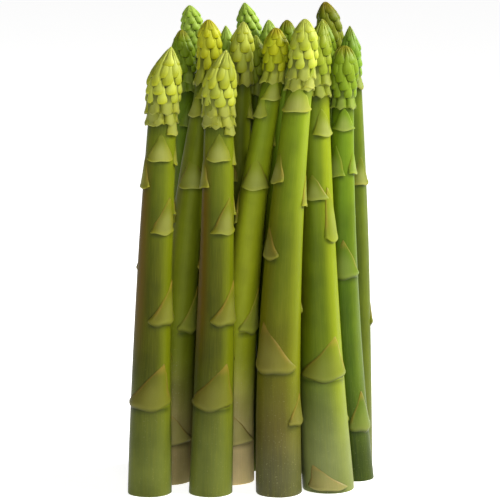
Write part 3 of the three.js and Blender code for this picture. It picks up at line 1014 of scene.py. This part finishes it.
class Signal:
    """A shader socket that takes part in Python arithmetic by adding Math nodes."""

    def __init__(self, graph: "ShaderGraph", socket: bpy.types.NodeSocket) -> None:
        self.graph = graph
        self.socket = socket

    def math(self, operation: str, *others: "Signal | float") -> "Signal":
        """Adds a Math node fed by this signal and the others."""
        return self.graph.add("ShaderNodeMath", {"operation": operation}, dict(enumerate([self, *others])))

    def __add__(self, other: "Signal | float") -> "Signal":
        return self.math("ADD", other)

    def __mul__(self, other: "Signal | float") -> "Signal":
        return self.math("MULTIPLY", other)

    def __rsub__(self, other: float) -> "Signal":
        return self.math("MULTIPLY_ADD", -1.0, other)

    __radd__ = __add__
    __rmul__ = __mul__

    def smooth(self, low: float, high: float) -> "Signal":
        """Rises smoothly from 0 at low to 1 at high, or falls where low is the larger."""
        settings = {"interpolation_type": "SMOOTHSTEP"}
        inputs = {"Value": self, "From Min": low, "From Max": high}
        return self.graph.add("ShaderNodeMapRange", settings, inputs)


class ShaderGraph:
    """Adds nodes to a material, settings first and then what feeds them."""

    MIX_A = 6
    MIX_B = 7
    MIX_RESULT = 2
    FACTOR_OUTPUT = 2
    VECTOR_OUTPUT = 1
    OBJECT_OUTPUT = 3

    def __init__(self, material: bpy.types.Material) -> None:
        self.tree = material.node_tree

    def add(self, kind: str, settings: dict, inputs: dict, output: int = 0) -> Signal:
        """Adds a node.

        Args:
            kind: Type name of the node.
            settings: Its properties by name.
            inputs: What feeds its sockets, by name or number.
            output: Number of the output that is wanted.

        Returns:
            The output as a signal.
        """
        node = self.tree.nodes.new(kind)
        for name, value in settings.items():
            setattr(node, name, value)
        for key, value in inputs.items():
            self.feed(node.inputs[key], value)
        return Signal(self, node.outputs[output])

    def feed(self, socket: bpy.types.NodeSocket, value: "Signal | float | Colour") -> None:
        """Links a signal to a socket, or sets the socket to a number or colour."""
        if isinstance(value, Signal):
            self.tree.links.new(value.socket, socket)
        elif isinstance(value, tuple) and len(socket.default_value) == len(value) + 1:
            socket.default_value = (*value, 1.0)
        else:
            socket.default_value = value

    def attribute(self, name: str) -> Signal:
        """Reads a number that is stored at the points of the mesh."""
        return self.add("ShaderNodeAttribute", {"attribute_name": name}, {}, self.FACTOR_OUTPUT)

    def vector(self, name: str) -> Signal:
        """Reads a vector that is stored at the points of the mesh."""
        return self.add("ShaderNodeAttribute", {"attribute_name": name}, {}, self.VECTOR_OUTPUT)

    def part(self, vector: Signal, number: int) -> Signal:
        """Reads x, y or z of a vector, numbered from 0."""
        return self.add("ShaderNodeSeparateXYZ", {}, {0: vector}, number)

    def place(self) -> Signal:
        """Gives the place on the object."""
        return self.add("ShaderNodeTexCoord", {}, {}, self.OBJECT_OUTPUT)

    def scaled(self, vector: Signal, by: tuple[float, float, float]) -> Signal:
        """Multiplies a vector by another, part by part."""
        return self.add("ShaderNodeVectorMath", {"operation": "MULTIPLY"}, {0: vector, 1: by})

    def noise(self, vector: Signal, scale: float, detail: float, roughness: float = 0.5) -> Signal:
        """Adds a noise texture from 0 to 1."""
        inputs = {"Vector": vector, "Scale": scale, "Detail": detail, "Roughness": roughness}
        return self.add("ShaderNodeTexNoise", {}, inputs)

    def blend(self, factor: Signal, first: "Signal | Colour", second: "Signal | Colour") -> Signal:
        """Mixes two colours."""
        inputs = {0: factor, self.MIX_A: first, self.MIX_B: second}
        return self.add("ShaderNodeMix", {"data_type": "RGBA"}, inputs, self.MIX_RESULT)


# Where the skin changes, each as the place of no change and the place of full change. Heights are
# shares of the spear's height, turns are the sine of the azimuth, and places up and across a leaf or
# scale are shares of its length and of its half width

STREAK = (0.35, 0.75)
FINE_GRAIN = (0.6, 0.35)
CLOUD = (0.35, 0.7)
SPECKLE_PEAK = (0.66, 0.76)
SPECKLED_HEIGHT = (0.5, 0.05)
FOOT_TO_STEM = (0.05, 0.32)
STEM_TO_NECK = (0.45, 0.85)
BLUSH_AND_SHADE_TURN = (-0.25, -0.85)
BLUSH_AND_SHADE_START = (0.25, 0.45)
BLUSH_AND_SHADE_END = (0.85, 0.65)
BROWN_START = (0.04, 0.16)
BROWN_END = (0.5, 0.25)
PAINTED_SUN_TURN = (0.15, 0.8)
PAINTED_SUN_START = (0.05, 0.28)
PAINTED_SHADOW_TURN = (0.0, 0.6)

LEAF_TO_SCALE = (0.55, 0.85)
LIP_BAND = (0.16, 0.0)
LIP_HEIGHT = (0.2, 0.7)
PINK_HEIGHT = (0.2, 0.0)
LOW_LEAF = (0.75, 0.5)
POINT_TO_STEM = (0.15, 0.85)
MARGIN_SIDE = (0.7, 1.0)
MARGIN_START = (0.1, 0.3)
MARGIN_END = (0.85, 0.6)
DRY_POINT = (0.7, 0.95)
DRY_AND_SHADE_TURN = (0.2, -0.7)
HAZE_SIDE = (0.85, 0.1)
HAZE_END = (0.8, 0.3)
HAZE_HEIGHT = (0.2, 0.8)

SCALE_BODY = (0.05, 0.4)
CORNER_SHADE_SIDE = (0.7, 1.0)
CORNER_SHADE_END = (0.45, 0.15)
RIM_SIDE = (0.7, 1.0)
RIM_START = (0.3, 0.5)
SCALE_LIP_SHADE = (0.08, 0.0)
BROWN_POINT = (0.97, 1.0)
FLESH_GRAIN = (0.4, 0.65)


@dataclass
class SkinReads:
    """What the skin reads at a point: the values stored in the mesh, and noise."""

    graph: ShaderGraph

    def __post_init__(self) -> None:
        graph = self.graph
        flow = graph.vector("flow")
        place = graph.place()
        self.turn = graph.part(flow, 0)
        self.height = graph.part(flow, 2)
        self.leaf, self.scale, self.cut = (graph.attribute(key) for key in ("leaf", "scale", "cut"))
        self.up, self.side, self.tint = (graph.attribute(key) for key in ("up", "side", "tint"))
        self.under, self.shade = (graph.attribute(key) for key in ("under", "shade"))
        self.streak = graph.noise(graph.scaled(flow, (9.0, 9.0, 7.0)), 2.2, 4.0, 0.6)
        self.fine = graph.noise(graph.scaled(flow, (26.0, 26.0, 12.0)), 2.0, 3.0)
        self.cloud = graph.noise(place, 55.0, 3.0)
        self.speckle = graph.noise(place, 1500.0, 1.0)
        self.grain = graph.noise(place, 900.0, 3.0)


@dataclass(frozen=True)
class SpearSkin:
    """Waxy skin of a spear: stem, scale leaves, head scales and cut end in one material."""

    tone: Tone
    roughness: float = 0.42
    rough_span: float = 0.16
    shine: float = 0.08
    coat: float = 0.01
    coat_roughness: float = 0.3
    subsurface: float = 0.12
    subsurface_reach: float = 0.0025
    subsurface_colour: Colour = (1.0, 0.9, 0.35)
    streaks: float = 0.14
    bump: float = 0.35
    bump_height: float = 0.00025

    def stem(self, graph: ShaderGraph, reads: SkinReads) -> Signal:
        """Colours the stem.

        It goes from foot to neck colour by smooth steps of height. Streaks are noise drawn out along
        the stem, and speckles are small bright peaks of noise, thicker near the foot. The -X side has a
        brown tint at mid height, partly real colour and partly painted shade. The +X side has a painted
        sunlit band or a painted shadow. Under lips and below the head it is darkened by painted shade.
        """
        colours = SKINS[self.tone]
        height = reads.height
        stem = graph.blend(height.smooth(*FOOT_TO_STEM), colours.foot, colours.stem)
        stem = graph.blend(height.smooth(*STEM_TO_NECK), stem, colours.neck)
        stem = graph.blend(reads.streak.smooth(*STREAK) * self.streaks, stem, colours.lip)
        stem = graph.blend(reads.fine.smooth(*FINE_GRAIN) * 0.08, stem, PAINTED_SHADE_AND_MOTTLE)
        stem = graph.blend(reads.cloud.smooth(*CLOUD) * 0.25, stem, PAINTED_SHADE_AND_MOTTLE)
        speckle = reads.speckle.smooth(*SPECKLE_PEAK) * height.smooth(*SPECKLED_HEIGHT)
        stem = graph.blend(speckle * colours.speckles, stem, SPECKLE)
        # Brown on the side away from the key light: partly a real tint, partly painted shade.
        blush_and_shade = reads.turn.smooth(*BLUSH_AND_SHADE_TURN) * height.smooth(*BLUSH_AND_SHADE_START) * height.smooth(*BLUSH_AND_SHADE_END)
        stem = graph.blend(blush_and_shade * colours.blush_and_shade_share, stem, BROWN_BLUSH_AND_SHADE)
        low = height.smooth(*BROWN_START) * height.smooth(*BROWN_END)
        stem = graph.blend(low * colours.low_brown, stem, BROWN_BLUSH_AND_SHADE)
        # Painted light: a sunlit yellow band on the side facing the key light.
        painted_sun = reads.turn.smooth(*PAINTED_SUN_TURN) * (height.smooth(*PAINTED_SUN_START) * 0.75 + 0.25)
        stem = graph.blend(painted_sun * colours.painted_sun_share, stem, PAINTED_SUNLIGHT)
        # Painted shadow of a neighbouring spear on the +X side.
        stem = graph.blend(reads.turn.smooth(*PAINTED_SHADOW_TURN) * colours.painted_shadow_share, stem, PAINTED_SHADE_AND_MOTTLE)
        return graph.blend(reads.shade * 0.7, stem, PAINTED_SHADE_AND_MOTTLE)

    def blade(self, graph: ShaderGraph, reads: SkinReads, stem: Signal) -> Signal:
        """Colours the scale leaves and bracts.

        They go from a brighter lip to the colour of the stem at the point, with a thin dry margin and
        a pale haze in the middle. Low leaves are duller, with an orange point and a grey-brown side
        away from the key light that is partly dry colour and partly painted shade. Painted shade darkens
        the parts of bracts that lie under the next ring's lips.
        """
        colours = SKINS[self.tone]
        height, up, side = reads.height, reads.up, reads.side
        low_leaf = height.smooth(*LOW_LEAF)
        blade = graph.blend(height.smooth(*LEAF_TO_SCALE) * 0.35, colours.leaf, colours.scale)
        lip = up.smooth(*LIP_BAND) * (height.smooth(*LIP_HEIGHT) * 0.5 + 0.2)
        blade = graph.blend(lip, blade, colours.lip)
        blade = graph.blend(height.smooth(*PINK_HEIGHT) * 0.4, blade, PINKISH)
        blade = graph.blend(up.smooth(*POINT_TO_STEM) * (0.75 - low_leaf * 0.3), blade, stem)
        edge = side.smooth(*MARGIN_SIDE) * up.smooth(*MARGIN_START) * height.smooth(*MARGIN_END)
        blade = graph.blend(edge * 0.4, blade, MARGIN)
        blade = graph.blend(reads.streak.smooth(*STREAK) * 0.3, blade, stem)
        blade = graph.blend(reads.tint * 0.3, blade, stem)
        blade = graph.blend(up.smooth(*DRY_POINT) * low_leaf * 0.35, blade, MARGIN)
        # Low leaves browner on the side away from the key light: partly dry colour, partly painted shade.
        blade = graph.blend(reads.turn.smooth(*DRY_AND_SHADE_TURN) * low_leaf * 0.3, blade, DRY_BROWN_AND_SHADE)
        haze = side.smooth(*HAZE_SIDE) * up.smooth(*HAZE_END)
        blade = graph.blend(haze * (height.smooth(*HAZE_HEIGHT) * 0.25 + 0.08), blade, HAZE)
        blade = graph.blend(low_leaf * 0.28, blade, stem)
        return graph.blend(reads.shade * 0.75, blade, PAINTED_SHADE_AND_MOTTLE)

    def bud(self, graph: ShaderGraph, reads: SkinReads) -> Signal:
        """Colours the head scales: a pale rim, painted shade in the lower corners and along the foot, and,
        on some heads, a brown tip.
        """
        colours = SKINS[self.tone]
        up, side = reads.up, reads.side
        bud = graph.blend(up.smooth(*SCALE_BODY), colours.scale_foot, colours.scale)
        bud = graph.blend(reads.tint * 0.4, bud, colours.neck)
        # Painted shade in the lower corners where scales meet.
        bud = graph.blend(side.smooth(*CORNER_SHADE_SIDE) * up.smooth(*CORNER_SHADE_END) * 0.8, bud, PAINTED_SHADE_AND_MOTTLE)
        bud = graph.blend(side.smooth(*RIM_SIDE) * up.smooth(*RIM_START) * 0.55, bud, colours.scale_edge)
        # Painted shadow along the foot of each scale.
        bud = graph.blend(up.smooth(*SCALE_LIP_SHADE) * 0.9, bud, PAINTED_SHADE_AND_MOTTLE)
        return graph.blend(reads.height.smooth(*BROWN_POINT) * colours.brown_tip, bud, BROWN)

    def material(self, name: str) -> bpy.types.Material:
        """Makes the material.

        The core of the head is painted dark as the shade in its crevices, and so are the undersides of
        lips as painted shade. The cut end is pale flesh with a fine grain.

        Args:
            name: Name of the material, less its ending.

        Returns:
            The material.
        """
        material = bpy.data.materials.new(name + "_skin")
        material.use_nodes = True
        graph = ShaderGraph(material)
        reads = SkinReads(graph)
        stem = self.stem(graph, reads)
        # Painted shade on the head's core.
        core = reads.side * (1.0 - reads.leaf) * (1.0 - reads.scale)
        colour = graph.blend(core * 0.9, stem, PAINTED_SHADE_AND_MOTTLE)
        colour = graph.blend(reads.leaf, colour, self.blade(graph, reads, stem))
        colour = graph.blend(reads.scale, colour, self.bud(graph, reads))
        # Painted shade on the undersides of lips.
        colour = graph.blend(reads.under * 0.8, colour, PAINTED_SHADE_AND_MOTTLE)
        flesh = graph.blend(reads.grain.smooth(*FLESH_GRAIN) * 0.45, CUT_FLESH, SKINS[self.tone].foot)
        colour = graph.blend(reads.cut, colour, flesh)
        rough = reads.streak * self.rough_span + (self.roughness - self.rough_span / 2)
        height = reads.streak * 0.6 + reads.fine * 0.4
        relief = {"Strength": self.bump, "Distance": self.bump_height, "Height": height}
        skin = material.node_tree.nodes["Principled BSDF"]
        graph.feed(skin.inputs["Base Color"], colour)
        graph.feed(skin.inputs["Roughness"], rough)
        graph.feed(skin.inputs["Normal"], graph.add("ShaderNodeBump", {}, relief))
        skin.inputs["Specular IOR Level"].default_value = self.shine
        skin.inputs["Coat Weight"].default_value = self.coat
        skin.inputs["Coat Roughness"].default_value = self.coat_roughness
        skin.inputs["Subsurface Weight"].default_value = self.subsurface
        skin.inputs["Subsurface Radius"].default_value = self.subsurface_colour
        skin.inputs["Subsurface Scale"].default_value = self.subsurface_reach
        return material


# Studio

@dataclass(frozen=True)
class AreaLight:
    """A soft square light: place and aim in metres, size, power and colour."""

    name: str
    place: tuple[float, float, float]
    size: float
    power: float
    colour: Colour = (1.0, 1.0, 1.0)
    aim: tuple[float, float, float] = (0.0, 0.0, 0.12)

    def add(self) -> None:
        """Adds the light to the scene."""
        data = bpy.data.lights.new(self.name, "AREA")
        data.shape = "SQUARE"
        data.size = self.size
        data.energy = self.power
        data.color = self.colour
        lamp = bpy.data.objects.new(self.name, data)
        lamp.location = self.place
        lamp.rotation_euler = (Vector(self.aim) - Vector(self.place)).to_track_quat("-Z", "Y").to_euler()
        bpy.context.scene.collection.objects.link(lamp)


@dataclass
class Studio:
    """Pale floor, soft lights and the camera that the photograph was taken with."""

    elevation: float = 9.5
    distance: float = 1.125
    target: tuple[float, float, float] = (-1.05, -8.3, 109.4)
    lens: float = 173.8
    sensor: float = 36.0
    floor_size: float = 20.0
    floor_grey: float = 0.92
    floor_roughness: float = 0.9
    floor_glow: float = 0.86
    surround: float = 0.1
    lights: tuple[AreaLight, ...] = (
        AreaLight("key", (1.05, -0.45, 1.0), 0.25, 22.0, (1.0, 0.98, 0.92)),
        AreaLight("rim", (0.8, 0.35, 0.6), 0.2, 9.0),
        AreaLight("front_fill", (0.1, -1.7, 0.6), 0.6, 7.0),
    )

    def floor(self) -> None:
        """Adds the floor, a plain pale square."""
        half = self.floor_size / 2
        mesh = bpy.data.meshes.new("floor")
        corners = [(-half, -half, 0), (half, -half, 0), (half, half, 0), (-half, half, 0)]
        mesh.from_pydata(corners, [], [(0, 1, 2, 3)])
        floor = bpy.data.objects.new("floor", mesh)
        material = bpy.data.materials.new("floor_paper")
        material.use_nodes = True
        skin = material.node_tree.nodes["Principled BSDF"]
        skin.inputs["Base Color"].default_value = (*[self.floor_grey] * 3, 1.0)
        skin.inputs["Roughness"].default_value = self.floor_roughness
        skin.inputs["Emission Color"].default_value = (1.0, 1.0, 1.0, 1.0)
        skin.inputs["Emission Strength"].default_value = self.floor_glow
        mesh.materials.append(material)
        bpy.context.scene.collection.objects.link(floor)

    def world(self) -> None:
        """Sets an even white surround."""
        world = bpy.data.worlds.new("surround")
        world.use_nodes = True
        back = world.node_tree.nodes["Background"]
        back.inputs["Color"].default_value = (1.0, 1.0, 1.0, 1.0)
        back.inputs["Strength"].default_value = self.surround
        bpy.context.scene.world = world
        bpy.context.scene.view_settings.view_transform = "Standard"

    def camera(self) -> None:
        """Adds the camera, looking along +Y and down by its elevation."""
        elevation = math.radians(self.elevation)
        target = Vector(self.target) * MM
        back = Vector((0.0, -math.cos(elevation), math.sin(elevation)))
        data = bpy.data.cameras.new("camera")
        data.lens = self.lens
        data.sensor_width = self.sensor
        camera = bpy.data.objects.new("camera", data)
        camera.location = target + back * self.distance
        camera.rotation_euler = (-back).to_track_quat("-Z", "Y").to_euler()
        bpy.context.scene.collection.objects.link(camera)
        bpy.context.scene.camera = camera

    def build(self) -> None:
        """Builds the whole studio."""
        self.floor()
        self.world()
        self.camera()
        for lamp in self.lights:
            lamp.add()


def main() -> None:
    """Builds the spears in order, then the studio."""
    logging.basicConfig(level=logging.INFO, format="%(name)s: %(message)s")
    faces = 0
    for number, form in enumerate(SPEARS):
        piece = Spear(form, number).build()
        faces += len(piece.data.polygons)
    LOG.info("%d spears, %d faces", len(SPEARS), faces)
    Studio().build()


if __name__ == "__main__":
    main()
